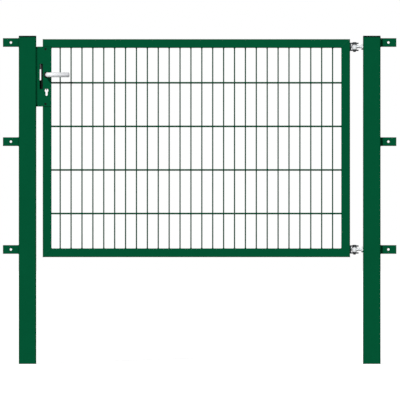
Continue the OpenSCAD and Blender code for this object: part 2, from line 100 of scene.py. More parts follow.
def colour_property(name, description, default):
    return FloatVectorProperty(
        name=name, description=description, default=default, subtype="COLOR", size=3, min=0, max=1
    )


def length_property(name, description, default, low=0.0, high=1.0):
    return FloatProperty(
        name=name, description=description, default=default, min=low, max=high,
        unit="LENGTH", subtype="DISTANCE", precision=5,
    )


def share_property(name, description, default):
    return FloatProperty(
        name=name, description=description, default=default, min=0, max=1, subtype="FACTOR"
    )


class GatePaint(bpy.types.PropertyGroup):
    """Colours and texture of the painted and moulded parts."""

    green: colour_property(
        "Paint", "Moss green powder coat on posts, frame and lock cover", (0.0002, 0.0775, 0.0292)
    )
    mesh_green: colour_property(
        "Mesh paint", "Moss green coat on the wires and rods", (0.0008, 0.0560, 0.0240)
    )
    cap_green: colour_property("Cap", "Dark green moulded post cap", (0.0016, 0.0150, 0.0095))
    plastic: colour_property("Black plastic", "Moulded handle rosette", (0.0060, 0.0065, 0.0070))
    gloss: share_property("Paint gloss", "Strength of the paint's reflection", 0.02)
    roughness: share_property("Paint roughness", "Roughness of the powder coat", 0.36)
    peel_size: length_property("Peel size", "Width of the coat's orange peel", 0.0026, 0.0005, 0.02)
    peel_depth: length_property(
        "Peel depth", "Depth of the coat's orange peel", 0.00006, 0.0, 0.001
    )
    drift: share_property("Tone drift", "How far the paint's tone wanders over a part", 0.06)
    # Painted shade: how much the coat is darkened where it turns a corner.
    edge_shade: share_property(
        "Edge shade", "Strength of the painted shade where the coat turns a corner", 0.70
    )
    dust: share_property("Dust", "Pale dust on faces that look up", 0.03)


class GateMetal(bpy.types.PropertyGroup):
    """Colours and texture of the bare metal parts."""

    zinc: colour_property("Zinc", "Zinc plating on the eye bolts and nuts", (0.84, 0.86, 0.87))
    lock: colour_property("Lock steel in painted shade", "Nickel-plated lock case and bolts, darkened as painted shade", (0.105, 0.098, 0.102))
    fork: colour_property(
        "Fork steel", "Steel of the hinge forks and pins, made dark as painted shade", (0.004, 0.005, 0.005)
    )
    lever: colour_property("Lever", "Satin anodised aluminium levers", (0.86, 0.865, 0.875))
    tip_shade: colour_property(
        "Handled", "Painted shade on the aluminium towards the lever's tip", (0.46, 0.465, 0.485)
    )
    screw: colour_property(
        "Dark steel", "Blackened screws, and the lock's faceplate made dark as painted shade", (0.0010, 0.0035, 0.0022)
    )
    zinc_roughness: share_property("Zinc roughness", "Roughness of the zinc plating", 0.30)
    lever_roughness: share_property("Lever roughness", "Roughness of the levers", 0.70)


class GateSizes(bpy.types.PropertyGroup):
    """Sizes of the details that are added to the frame."""

    wire_pitch: length_property("Wire pitch", "Spacing of the upright wires", 0.050, 0.01, 0.2)
    rod_pitch: length_property("Rod pitch", "Spacing of the pairs of cross rods", 0.200, 0.05, 0.5)
    wire_sides: IntProperty(
        name="Wire sides", description="Sides of a wire", default=12, min=6, max=32
    )
    nugget: length_property(
        "Weld nugget", "Half-width of the weld where a wire meets a rod", 0.0042, 0.0, 0.01
    )
    bracket_weld: length_property(
        "Bracket weld", "Leg of the weld beside a bracket", 0.0030, 0.0, 0.01
    )
    mitre_weld: length_property(
        "Mitre weld", "Half-width of the dressed weld on a mitre", 0.0042, 0.0, 0.01
    )
    weld_ripple: length_property(
        "Weld ripple", "Spacing of the ripples along a weld", 0.0022, 0.0005, 0.01
    )
    shank: length_property("Shank", "Diameter of the eye bolt's shank", 0.014, 0.008, 0.02)
    thread_pitch: length_property(
        "Thread pitch", "Pitch of the eye bolt's thread", 0.002, 0.0005, 0.005
    )
    thread_depth: length_property(
        "Thread depth", "Depth of the eye bolt's thread", 0.0012, 0.0, 0.003
    )
    fork_web: length_property("Fork web", "Thickness of the hinge fork's web", 0.006, 0.002, 0.02)
    nut_chamfer: length_property(
        "Nut chamfer", "Depth of the chamfer on the nut's corners", 0.0016, 0.0, 0.005
    )
    eye_round: length_property(
        "Eye edge", "Radius on the edges of the hinge eye", 0.0016, 0.0, 0.005
    )
    elbow: length_property("Lever elbow", "Radius of the lever's bend", 0.0115, 0.005, 0.03)
    heel: length_property(
        "Lever heel", "How far the lever's bend reaches past its axis", 0.005, 0.0, 0.01
    )
    tip_round: length_property(
        "Lever tip", "Radius on the edge of the lever's tip", 0.0030, 0.0, 0.01
    )
    plate_edge: length_property(
        "Plate edge", "Bevel on the edges of sheet and flat bar", 0.0005, 0.0, 0.003
    )
    fork_edge: length_property("Fork edge", "Bevel on the hinge fork's edges", 0.0007, 0.0, 0.003)
    cap_edge: length_property("Cap edge", "Radius on the edge of the post caps", 0.0016, 0.0, 0.005)


class GateStudio(bpy.types.PropertyGroup):
    """The floor, the light and the camera."""

    lens: FloatProperty(
        name="Lens", description="Focal length in millimetres", default=1200, min=20, max=1600
    )
    view_width: length_property(
        "View width", "Width of what the camera sees at the gate's front", 1.835, 0.5, 10
    )
    view_x: FloatProperty(
        name="View X", description="Middle of the view along X", default=-0.7884, unit="LENGTH"
    )
    view_z: FloatProperty(
        name="View Z", description="Middle of the view along Z", default=0.7521, unit="LENGTH"
    )
    key: FloatProperty(
        name="Key light", description="Strength of the key light", default=2.95, min=0, max=20
    )
    key_softness: FloatProperty(
        name="Key softness", description="Angle that the key light fills", default=math.radians(
            5
        ), subtype="ANGLE"
    )
    key_heading: FloatVectorProperty(
        name="Key heading", description="Way the key light travels", default=(
            0.32, 1.0, -0.60
        ), size=3
    )
    back: FloatProperty(
        name="Back light", description="Strength of the light from behind", default=1.2, min=0,
        max=20,
    )
    back_softness: FloatProperty(
        name="Back softness", description="Angle that the back light fills", default=math.radians(
            40
        ), subtype="ANGLE"
    )
    back_heading: FloatVectorProperty(
        name="Back heading", description="Way the back light travels", default=(
            -0.45, -1.0, -0.55
        ), size=3
    )
    fill: FloatProperty(
        name="Fill", description="Even light from all round", default=0.16, min=0, max=5
    )
    floor: share_property("Floor", "How much light the pale floor gives back", 0.55)
    floor_lift: share_property("Floor lift", "How far the floor is lifted towards white", 0.74)
    show_floor: BoolProperty(
        name="Show floor", description="Put the floor under the gate", default=True
    )


# Shader helpers --------------------------------------------------------------


def feed(tree, socket, value):
    """Links a socket to a socket, or sets its value."""
    if isinstance(value, bpy.types.NodeSocket):
        tree.links.new(value, socket)
    elif socket.type == "RGBA" and len(value) == 3:
        socket.default_value = (*value, 1)
    else:
        socket.default_value = value


def add(tree, kind, *values, **settings):
    """A node with its settings, and its first sockets fed in order."""
    node = tree.nodes.new(kind)
    for key, value in settings.items():
        setattr(node, key, value)
    for socket, value in zip(node.inputs, values):
        if value is not None:
            feed(tree, socket, value)
    return node


def calc(tree, operation, *values, clamp=False):
    return add(tree, "ShaderNodeMath", *values, operation=operation, use_clamp=clamp).outputs[0]


def blend_colours(tree, share, first, second):
    """Inputs 6 and 7 and output 2 are the Mix node's colour sockets."""
    node = add(tree, "ShaderNodeMix", share, data_type="RGBA")
    feed(tree, node.inputs[6], first)
    feed(tree, node.inputs[7], second)
    return node.outputs[2]


def remap(tree, value, low, high, to_low=0.0, to_high=1.0):
    return add(tree, "ShaderNodeMapRange", value, low, high, to_low, to_high).outputs[0]


def cloud(tree, place, scale, detail=2.0, rough=0.5):
    node = tree.nodes.new("ShaderNodeTexNoise")
    feed(tree, node.inputs["Vector"], place)
    feed(tree, node.inputs["Scale"], scale)
    node.inputs["Detail"].default_value = detail
    node.inputs["Roughness"].default_value = rough
    return node.outputs[0]


def own_place(tree):
    """Object coordinates."""
    return tree.nodes.new("ShaderNodeTexCoord").outputs["Object"]


def per(tree, size, count=1.0):
    """The texture scale that fits count features in a length."""
    return calc(tree, "DIVIDE", count, size)


def weigh(tree, first, share, second):
    """The mean of two values, with a share for the first."""
    rest = calc(tree, "MULTIPLY", second, round(1 - share, 6))
    return calc(tree, "ADD", calc(tree, "MULTIPLY", first, share), rest)


def surface_normal(tree):
    return tree.nodes.new("ShaderNodeNewGeometry").outputs["Normal"]


def facing_up(tree):
    return add(tree, "ShaderNodeSeparateXYZ", surface_normal(tree)).outputs[2]


def lean(tree, radius, samples):
    """How far a surface leans from what it would be with its corners rounded."""
    rounded = tree.nodes.new("ShaderNodeBevel")
    rounded.samples = samples
    feed(tree, rounded.inputs["Radius"], radius)
    pair = rounded.outputs[0], surface_normal(tree)
    match = add(tree, "ShaderNodeVectorMath", *pair, operation="DOT_PRODUCT").outputs["Value"]
    return calc(tree, "SUBTRACT", 1.0, match)


def fill_in(tree, node, **values):
    """Feeds a node's sockets by name. Underscores in the names stand for spaces."""
    for key, value in values.items():
        feed(tree, node.inputs[key.replace("_", " ")], value)


def effect(name, takes, gives):
    """A new shader node group, its input sockets by name, and a way to set its outputs."""
    tree = bpy.data.node_groups.new(name, "ShaderNodeTree")
    for label, kind, default in takes:
        tree.interface.new_socket(
            name=label, in_out="INPUT", socket_type=kind
        ).default_value = default
    for label, kind in gives:
        tree.interface.new_socket(name=label, in_out="OUTPUT", socket_type=kind)
    source, sink = tree.nodes.new("NodeGroupInput"), tree.nodes.new("NodeGroupOutput")
    return tree, source.outputs, lambda label, value: tree.links.new(value, sink.inputs[label])


def use_effect(tree, name, **values):
    """Places an effect in a material, with its own values."""
    node = tree.nodes.new("ShaderNodeGroup")
    node.node_tree = bpy.data.node_groups[name]
    fill_in(tree, node, **values)
    return node.outputs


FLOAT, COLOUR, VECTOR = "NodeSocketFloat", "NodeSocketColor", "NodeSocketVector"


def make_orange_peel():
    """The soft ripple of a baked powder coat."""
    tree, take, give = effect("Orange Peel", [("Size", FLOAT, 0.0026)], [("Height", FLOAT)])
    place, scale = own_place(tree), per(tree, take["Size"])
    wide = cloud(tree, place, scale, 1.5, 0.45)
    fine = cloud(tree, place, calc(tree, "MULTIPLY", scale, 3.7), 1.0)
    give("Height", weigh(tree, wide, 0.8, fine))


def make_tone_drift():
    """A colour that wanders a little lighter and darker over a part."""
    takes = [("Colour", COLOUR, (0.5, 0.5, 0.5, 1)), ("Amount", FLOAT, 0.1), ("Size", FLOAT, 0.3)]
    tree, take, give = effect("Tone Drift", takes, [("Colour", COLOUR)])
    place = own_place(tree)
    wide = cloud(tree, place, per(tree, take["Size"]), 3.0, 0.55)
    fine = cloud(tree, place, per(tree, take["Size"], 11.0), 2.0, 0.6)
    wander = calc(tree, "SUBTRACT", weigh(tree, wide, 0.65, fine), 0.5)
    shift = calc(tree, "MULTIPLY", wander, calc(tree, "MULTIPLY", take["Amount"], 4.0))
    node = tree.nodes.new("ShaderNodeHueSaturation")
    fill_in(tree, node, Color=take["Colour"], Value=calc(tree, "ADD", 1.0, shift))
    give("Colour", node.outputs[0])


def make_settled_dust():
    """A mask of dust on faces that look up."""
    takes = [("Amount", FLOAT, 0.1), ("Size", FLOAT, 0.02)]
    tree, take, give = effect("Settled Dust", takes, [("Mask", FLOAT)])
    patch = cloud(tree, own_place(tree), per(tree, take["Size"]), 4.0, 0.6)
    up = remap(tree, facing_up(tree), 0.35, 1.0)
    mask = calc(tree, "MULTIPLY", up, remap(tree, patch, 0.3, 0.75))
    give("Mask", calc(tree, "MULTIPLY", mask, take["Amount"], clamp=True))


def make_rubbed_edge():
    """A mask along sharp edges, where a coat is thin or handling polishes metal."""
    takes = [("Radius", FLOAT, 0.001), ("Size", FLOAT, 0.01)]
    tree, take, give = effect("Rubbed Edge", takes, [("Mask", FLOAT)])
    patch = cloud(tree, own_place(tree), per(tree, take["Size"]), 3.0, 0.65)
    edge = remap(tree, lean(tree, take["Radius"], 4), 0.01, 0.16)
    give("Mask", calc(tree, "MULTIPLY", edge, remap(tree, patch, 0.3, 0.6), clamp=True))


def make_corner_shade():
    """A mask that grows where a surface turns a corner."""
    tree, take, give = effect("Corner Shade", [("Radius", FLOAT, 0.004)], [("Mask", FLOAT)])
    give("Mask", remap(tree, lean(tree, take["Radius"], 6), 0.0, 0.05))


def make_zinc_bloom():
    """The mottled tone of zinc plating, with its passivated patches."""
    takes = [
        ("Colour", COLOUR, (0.6, 0.6, 0.6, 1)), ("Size", FLOAT, 0.004), ("Roughness", FLOAT, 0.3),
    ]
    gives = [("Colour", COLOUR), ("Roughness", FLOAT), ("Height", FLOAT)]
    tree, take, give = effect("Zinc Bloom", takes, gives)
    place, scale = own_place(tree), per(tree, take["Size"])
    cells = tree.nodes.new("ShaderNodeTexVoronoi")
    fill_in(tree, cells, Vector=place, Scale=scale)
    grain = add(tree, "ShaderNodeSeparateXYZ", cells.outputs["Color"]).outputs[0]
    patch = cloud(tree, place, calc(tree, "MULTIPLY", scale, 0.45), 4.0, 0.6)
    mottle = remap(tree, patch, 0.25, 0.75, 0.80, 1.04)
    shade = add(tree, "ShaderNodeVectorMath", take["Colour"], operation="SCALE")
    fill_in(tree, shade, Scale=calc(tree, "ADD", calc(tree, "MULTIPLY", grain, 0.10), mottle))
    cool = remap(tree, patch, 0.45, 0.8, 0.0, 0.35)
    give("Colour", blend_colours(tree, cool, shade.outputs[0], (0.50, 0.56, 0.62)))
    dull = remap(tree, patch, 0.3, 0.8, -0.06, 0.14)
    give("Roughness", calc(tree, "ADD", take["Roughness"], dull))
    grit = cloud(tree, place, 2600, 2.0)
    give("Height", calc(tree, "ADD", calc(tree, "MULTIPLY", grain, 0.4), grit))


def make_brushed_grain():
    """Fine scratches along one direction."""
    takes = [("Along", VECTOR, (1, 30, 30)), ("Size", FLOAT, 0.01)]
    tree, take, give = effect("Brushed Grain", takes, [("Value", FLOAT)])
    stretch = own_place(tree), take["Along"]
    drawn = add(tree, "ShaderNodeVectorMath", *stretch, operation="MULTIPLY").outputs[0]
    scale = per(tree, take["Size"])
    lines = cloud(tree, drawn, scale, 3.0, 0.6)
    fine = cloud(tree, drawn, calc(tree, "MULTIPLY", scale, 3.1), 2.0, 0.5)
    give("Value", weigh(tree, lines, 0.6, fine))


def make_tip_painted_shade():
    """Painted shade: a colour that darkens towards the end of a grip."""
    takes = [
        ("Clean", COLOUR, (0.8, 0.8, 0.8, 1)), ("Handled", COLOUR, (0.5, 0.5, 0.5, 1)),
        ("From", FLOAT, 0.0), ("To", FLOAT, 0.1),
    ]
    tree, take, give = effect("Handled Tone", takes, [("Colour", COLOUR)])
    place = own_place(tree)
    along = add(tree, "ShaderNodeSeparateXYZ", place).outputs[0]
    reach = remap(tree, along, take["From"], take["To"])
    jitter = remap(tree, cloud(tree, place, 90, 3.0, 0.6), 0.3, 0.7, -0.08, 0.08)
    shade_at_tip = calc(tree, "ADD", reach, jitter, clamp=True)
    give("Colour", blend_colours(tree, shade_at_tip, take["Clean"], take["Handled"]))


def make_moulded_grain():
    """The fine leathery grain of a moulded plastic part."""
    tree, take, give = effect("Moulded Grain", [("Size", FLOAT, 0.0009)], [("Height", FLOAT)])
    cells = tree.nodes.new("ShaderNodeTexVoronoi")
    cells.feature = "SMOOTH_F1"
    fill_in(tree, cells, Vector=own_place(tree), Scale=per(tree, take["Size"]))
    give("Height", cells.outputs["Distance"])


def new_finish(name):
    """A material with only a Principled shader, as (material, tree, shader)."""
    material = bpy.data.materials.new(name)
    material.use_nodes = True
    tree = material.node_tree
    tree.nodes.clear()
    shader = tree.nodes.new("ShaderNodeBsdfPrincipled")
    out = tree.nodes.new("ShaderNodeOutputMaterial")
    tree.links.new(shader.outputs[0], out.inputs["Surface"])
    return material, tree, shader


def emboss(tree, shader, height, depth):
    """Feeds a height map to a shader's normal."""
    bump = tree.nodes.new("ShaderNodeBump")
    bump.inputs["Distance"].default_value = depth
    bump.inputs["Strength"].default_value = 1.0
    feed(tree, bump.inputs["Height"], height)
    tree.links.new(bump.outputs[0], shader.inputs["Normal"])


def powder_coat(name, colour, paint, peel, corner):
    material, tree, shader = new_finish(name)
    toned = use_effect(tree, "Tone Drift", Colour=colour, Amount=paint.drift, Size=0.35)["Colour"]
    # Painted shade: the coat is darkened where a surface turns a corner.
    turn = use_effect(tree, "Corner Shade", Radius=corner)["Mask"]
    shade = calc(tree, "MULTIPLY", turn, paint.edge_shade)
    shaded = blend_colours(tree, shade, toned, CORNER_PAINTED_SHADE)
    dusty = use_effect(tree, "Settled Dust", Amount=paint.dust, Size=0.03)["Mask"]
    ripple = use_effect(tree, "Orange Peel", Size=peel)["Height"]
    emboss(tree, shader, ripple, paint.peel_depth)
    sheen = remap(tree, ripple, 0.3, 0.7, paint.roughness - 0.05, paint.roughness + 0.07)
    dull = calc(tree, "MULTIPLY", dusty, 0.4)
    fill_in(
        tree, shader,
        Base_Color=blend_colours(tree, dusty, shaded, DUST),
        Roughness=calc(tree, "ADD", sheen, dull, clamp=True),
        Specular_IOR_Level=paint.gloss,
    )
    return material


def zinc_plate(name, colour, roughness, specular, metallic):
    material, tree, shader = new_finish(name)
    bloom = use_effect(tree, "Zinc Bloom", Colour=colour, Size=0.0035, Roughness=roughness)
    # Painted shade: zinc faces that look down are darkened.
    under = calc(tree, "MULTIPLY", remap(tree, facing_up(tree), -0.05, -0.75), 0.8)
    rubbed = use_effect(tree, "Rubbed Edge", Radius=0.0009, Size=0.006)["Mask"]
    emboss(tree, shader, bloom["Height"], 0.00002)
    polish = calc(tree, "MULTIPLY", rubbed, 0.1)
    fill_in(
        tree, shader,
        Base_Color=blend_colours(tree, under, bloom["Colour"], UNDERSIDE_PAINTED_SHADE),
        Roughness=calc(tree, "SUBTRACT", bloom["Roughness"], polish),
        Metallic=metallic,
        Specular_IOR_Level=specular,
    )
    return material


def brushed_metal(name, colour, roughness, along, metallic=1.0, tip_shade=None, grip=None):
    material, tree, shader = new_finish(name)
    lines = use_effect(tree, "Brushed Grain", Along=along, Size=0.012)["Value"]
    toned = use_effect(tree, "Tone Drift", Colour=colour, Amount=0.06, Size=0.05)["Colour"]
    # Painted shade: the lever's colour darkens towards its tip.
    if grip:
        shade_at_tip = {"Handled": tip_shade, "From": grip[0], "To": grip[1]}
        toned = use_effect(tree, "Handled Tone", Clean=toned, **shade_at_tip)["Colour"]
    rubbed = use_effect(tree, "Rubbed Edge", Radius=0.0006, Size=0.006)["Mask"]
    lit = blend_colours(tree, calc(tree, "MULTIPLY", rubbed, 0.6), toned, POLISHED)
    scratched = remap(tree, lines, 0.35, 0.65, 0.0, 0.08)
    emboss(tree, shader, lines, 0.00002)
    fill_in(
        tree, shader,
        Base_Color=blend_colours(tree, scratched, lit, SCRATCH),
        Roughness=remap(tree, lines, 0.3, 0.7, roughness - 0.06, roughness + 0.10),
        Metallic=metallic,
    )
    return material


def moulded(name, colour, roughness, grain):
    material, tree, shader = new_finish(name)
    toned = use_effect(tree, "Tone Drift", Colour=colour, Amount=0.08, Size=0.06)["Colour"]
    height = use_effect(tree, "Moulded Grain", Size=grain)["Height"]
    emboss(tree, shader, height, 0.00005)
    fill_in(
        tree, shader,
        Base_Color=toned,
        Roughness=remap(tree, height, 0.0, 0.9, roughness - 0.06, roughness + 0.08),
        Specular_IOR_Level=0.06,
    )
    return material


# Dark steel for the blackened screws, also used as painted shade on the lock's faceplate.
def dark_steel_finish(name, colour):
    material, tree, shader = new_finish(name)
    rubbed = use_effect(tree, "Rubbed Edge", Radius=0.0004, Size=0.003)["Mask"]
    toned = use_effect(tree, "Tone Drift", Colour=colour, Amount=0.15, Size=0.01)["Colour"]
    bare = calc(tree, "MULTIPLY", rubbed, 0.1)
    emboss(tree, shader, cloud(tree, own_place(tree), 3000, 2.0), 0.00002)
    fill_in(
        tree, shader,
        Base_Color=blend_colours(tree, bare, toned, BARE_STEEL),
        Roughness=0.45,
        Specular_IOR_Level=0.08,
    )
    return material


# Mesh helpers -----------------------------------------------------------------


def tube_of(bm, rings, capped=True):
    """Skins a list of rings of points. Each ring has as many points as the first."""
    made = [[bm.verts.new(p) for p in ring] for ring in rings]
    count = len(made[0])
    for one, two in zip(made, made[1:]):
        for i in range(count):
            j = (i + 1) % count
            bm.faces.new((one[i], one[j], two[j], two[i]))
    if capped:
        bm.faces.new(made[0][::-1])
        bm.faces.new(made[-1])
    return made


def across(axis):
    """Two unit vectors at right angles to an axis."""
    u = axis.orthogonal().normalized()
    return u, axis.cross(u).normalized()


def ring(centre, u, v, radii):
    """Points round a centre, each at its own radius."""
    turn = 2 * math.pi / len(radii)
    return [
        centre + r * (u * math.cos(turn * i) + v * math.sin(turn * i))
        for i, r in enumerate(radii)
    ]


def circle(centre, axis, radius, sides):
    return ring(centre, *across(axis), [radius] * sides)


def turned(bm, start, axis, profile, sides):
    """A turned solid: profile holds (distance along the axis, radius)."""
    tube_of(bm, [circle(start + axis * t, axis, r, sides) for t, r in profile])


def close_up(bm, rings):
    """Skins rings that lead back to the first."""
    tube_of(bm, rings + rings[:1], capped=False)
    bmesh.ops.remove_doubles(bm, verts=bm.verts, dist=MERGE)


def turned_ring(bm, start, axis, profile, sides):
    """A turned ring whose profile closes on itself."""
    close_up(bm, [circle(start + axis * t, axis, r, sides) for t, r in profile])


def weld_bead(bm, start, end, radius, ripple, seed=0.0, squash=None):
    """A rippled weld bead, half sunk in the steel. squash is (direction, share) to flatten it."""
    along = end - start
    length = along.length
    axis = along.normalized()
    u, v = across(axis)
    steps = max(6, int(length / (ripple / 4)))
    rings = []
    for k in range(steps + 1):
        t = length * k / steps
        phase = (t / ripple + seed) % 1.0
        swell = 1.0 + 0.10 * (1 - phase) ** 2 - 0.05
        swell *= 1.0 + 0.10 * noise.noise(Vector((t * 90, seed * 7.3, 0.5)))
        ends = min(t, length - t) / (radius * 1.2)
        swell *= math.sqrt(max(0.03, 1 - (1 - min(1.0, ends)) ** 2))
        centre = start + axis * t
        points = ring(centre, u, v, [radius * swell] * BEAD_SIDES)
        if squash:
            side, share = squash
            points = [p - side * (p - centre).dot(side) * (1 - share) for p in points]
        rings.append(points)
    tube_of(bm, rings)


def finish_piece(name, bm, body, material, sharp_from=38):
    """Turns a bmesh into a smooth-shaded piece that rides on a body."""
    if not bm.faces:
        raise RuntimeError(f"{name} has no faces")
    bmesh.ops.recalc_face_normals(bm, faces=bm.faces)
    mesh = bpy.data.meshes.new(name)
    bm.to_mesh(mesh)
    bm.free()
    mesh.polygons.foreach_set("use_smooth", [True] * len(mesh.polygons))
    mesh.set_sharp_from_angle(angle=math.radians(sharp_from))
    mesh.materials.append(material)
    piece = bpy.data.objects.new(name, mesh)
    bpy.context.scene.collection.objects.link(piece)
    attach(piece, body)
    return piece


def smooth_faces_group():
    """Geometry nodes that shade every face smooth and clear sharp edges."""
    name = "Smooth Faces"
    if name in bpy.data.node_groups:
        return bpy.data.node_groups[name]
    tree = bpy.data.node_groups.new(name, "GeometryNodeTree")
    tree.interface.new_socket(name="Geometry", in_out="INPUT", socket_type="NodeSocketGeometry")
    tree.interface.new_socket(name="Geometry", in_out="OUTPUT", socket_type="NodeSocketGeometry")
    source, sink = tree.nodes.new("NodeGroupInput"), tree.nodes.new("NodeGroupOutput")
    faces, edges = (tree.nodes.new("GeometryNodeSetShadeSmooth") for _ in range(2))
    faces.domain, edges.domain = "FACE", "EDGE"
    tree.links.new(source.outputs[0], faces.inputs[0])
    tree.links.new(faces.outputs[0], edges.inputs[0])
    tree.links.new(edges.outputs[0], sink.inputs[0])
    return tree


def soften(node, width, segments=2):
    """Eases the sharp edges of a CAD node with modifiers."""
    same_point, flat_under, sharp_over = 1e-5, math.radians(0.4), math.radians(40)
    piece = NODES[node]
    weld = piece.modifiers.new("Joined corners", "WELD")
    weld.merge_threshold = same_point
    flat = piece.modifiers.new("Flat faces", "DECIMATE")
    flat.decimate_type = "DISSOLVE"
    flat.angle_limit = flat_under
    bevel = piece.modifiers.new("Eased edges", "BEVEL")
    bevel.width = width
    bevel.segments = segments
    bevel.limit_method = "ANGLE"
    bevel.angle_limit = sharp_over
    bevel.miter_outer = "MITER_ARC"
    shade = piece.modifiers.new("Smooth faces", "NODES")
    shade.node_group = smooth_faces_group()
    even = piece.modifiers.new("Even shading", "WEIGHTED_NORMAL")
    even.keep_sharp = False


def paint_nodes(names, material):
    for name in names:
        slots = NODES[name].material_slots
        if not slots:
            raise RuntimeError(f"{name} has no material slot")
        for slot in slots:
            slot.material = material


def finish_named(name):
    if name not in bpy.data.materials:
        raise RuntimeError(f"run the finishes first: there is no finish named {name}")
    return bpy.data.materials[name]


# Operators ----------------------------------------------------------------------


class GATE_OT_finishes(bpy.types.Operator):
    """Make the paint, zinc, steel and plastic finishes"""

    bl_idname = "gate.finishes"
    bl_label = "Finishes"

    def execute(self, context):
        paint, metal = context.scene.gate_paint, context.scene.gate_metal
        for make in (
            make_orange_peel,
            make_tone_drift,
            make_settled_dust,
            make_rubbed_edge,
            make_corner_shade,
            make_zinc_bloom,
            make_brushed_grain,
            make_tip_painted_shade,
            make_moulded_grain,
        ):
            make()
        powder_coat("Post powder coat", paint.green, paint, paint.peel_size, 0.0045)
        powder_coat("Frame powder coat", paint.green, paint, paint.peel_size * 0.9, 0.0035)
        powder_coat("Weld powder coat", paint.green, paint, paint.peel_size * 0.8, 0.0002)
        powder_coat("Mesh powder coat", paint.mesh_green, paint, paint.peel_size * 0.6, 0.0008)
        moulded("Cap plastic", paint.cap_green, 0.52, 0.0010)
        moulded("Rosette plastic", paint.plastic, 0.38, 0.0006)
        zinc_plate("Zinc plate", metal.zinc, metal.zinc_roughness, 0.10, 0.10)
        # Painted shade: the hinge forks and pins are made near black.
        zinc_plate("Fork steel in painted shade", metal.fork, 0.40, 0.10, 0.05)
        brushed_metal("Lock steel in painted shade", metal.lock, 0.30, (30, 30, 1))
        grip = [corner.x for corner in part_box("front_lever")]
        # Painted shade: the lever darkens along its grip towards the tip.
        brushed_metal(
            "Satin aluminium", metal.lever, metal.lever_roughness, (1, 30, 30), 0.5, metal.tip_shade,
            grip,
        )
        dark_steel_finish("Blackened steel and painted shade", metal.screw)
        return {"FINISHED"}


class GATE_OT_posts(bpy.types.Operator):
    """Paint the posts and brackets, weld the brackets on and fit the caps"""

    bl_idname = "gate.posts"
    bl_label = "Posts and brackets"

    def execute(self, context):
        sizes = context.scene.gate_sizes
        coat = finish_named("Post powder coat")
        paint_nodes(["hinge_post", "latch_post", *BRACKETS], coat)
        for name in ("hinge_post_cap", "latch_post_cap"):
            soften(name, sizes.cap_edge, 3)
        paint_nodes(["hinge_post_cap", "latch_post_cap"], finish_named("Cap plastic"))
        for name in BRACKETS:
            soften(name, sizes.plate_edge)
        bm = bmesh.new()
        past = 0.001
        for n, name in enumerate(BRACKETS):
            low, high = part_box(name)
            x = low.x if name.startswith("hinge") else high.x
            leg, ripple = sizes.bracket_weld, sizes.weld_ripple
            for m, y in enumerate((low.y, high.y)):
                foot, top = Vector((x, y, low.z - past)), Vector((x, y, high.z + past))
                weld_bead(bm, foot, top, leg, ripple, 0.37 * n + 0.61 * m)
            for m, z in enumerate((low.z, high.z)):
                near, far = Vector((x, low.y - past, z)), Vector((x, high.y + past, z))
                weld_bead(bm, near, far, leg * 0.8, ripple, 0.17 * n + 0.43 * m)
        finish_piece("bracket_welds", bm, "posts", coat, 60)
        return {"FINISHED"}


class GATE_OT_keep(bpy.types.Operator):
    """Paint and weld the strike box and the stop plate"""

    bl_idname = "gate.keep"
    bl_label = "Strike box and stop plate"

    def execute(self, context):
        sizes = context.scene.gate_sizes
        coat = finish_named("Post powder coat")
        paint_nodes(["strike_box", "stop_plate"], coat)
        for name in ("strike_box", "stop_plate"):
            soften(name, sizes.plate_edge)
        bm = bmesh.new()
        low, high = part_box("strike_box")
        leg, ripple = sizes.bracket_weld * 0.6, sizes.weld_ripple
        foot, top = Vector((low.x, low.y, low.z)), Vector((low.x, low.y, high.z))
        weld_bead(bm, foot, top, leg, ripple, 0.2)
        for n, z in enumerate((low.z, high.z)):
            near, far = Vector((low.x, low.y, z)), Vector((low.x, high.y, z))
            weld_bead(bm, near, far, leg, ripple, 0.4 * n)
        low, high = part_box("stop_plate")
        span = high.z - low.z
        first, pitch, stitch = 0.02, 0.27, 0.14
        for n in range(4):
            z = low.z + span * (first + pitch * n)
            foot, top = Vector((low.x, high.y, z)), Vector((low.x, high.y, z + span * stitch))
            weld_bead(bm, foot, top, sizes.bracket_weld * 0.8, ripple, 0.29 * n)
        finish_piece("keep_welds", bm, "posts", coat, 60)
        return {"FINISHED"}


class GATE_OT_leaf_frame(bpy.types.Operator):
    """Paint the leaf's frame and weld its mitres"""

    bl_idname = "gate.leaf_frame"
    bl_label = "Leaf frame"

    def execute(self, context):
        sizes = context.scene.gate_sizes
        coat = finish_named("Frame powder coat")
        paint_nodes(["top_rail", "bottom_rail", "lock_stile", "hinge_stile"], coat)
        left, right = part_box("lock_stile"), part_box("hinge_stile")
        low, high = Vector(map(min, left[0], right[0])), Vector(map(max, left[1], right[1]))
        tube = left[1].x - left[0].x
        bm = bmesh.new()
        ripple = sizes.weld_ripple
        inset, edge, outer_leg, inner_leg = 0.002, 0.003, 0.0009, 0.0022
        flat = (Y, 0.07)
        seed = 0.0
        for x, inward in ((low.x, 1), (high.x, -1)):
            for z, up in ((low.z, 1), (high.z, -1)):
                inner = Vector((x + inward * tube, 0, z + up * tube))
                corner = Vector((x, 0, z))
                away = (inner - corner).normalized() * inset
                seed += 0.31
                for y in (low.y, high.y):
                    start, end = corner + Y * y + away, inner + Y * y - away * 0.5
                    weld_bead(bm, start, end, sizes.mitre_weld, ripple * 1.4, seed, flat)
                front, back = Y * (low.y + edge), Y * (high.y - edge)
                weld_bead(bm, corner + front, corner + back, outer_leg, ripple, seed + 0.2)
                weld_bead(bm, inner + front, inner + back, inner_leg, ripple, seed + 0.5)
        finish_piece("frame_welds", bm, "leaf", finish_named("Weld powder coat"), 60)
        return {"FINISHED"}


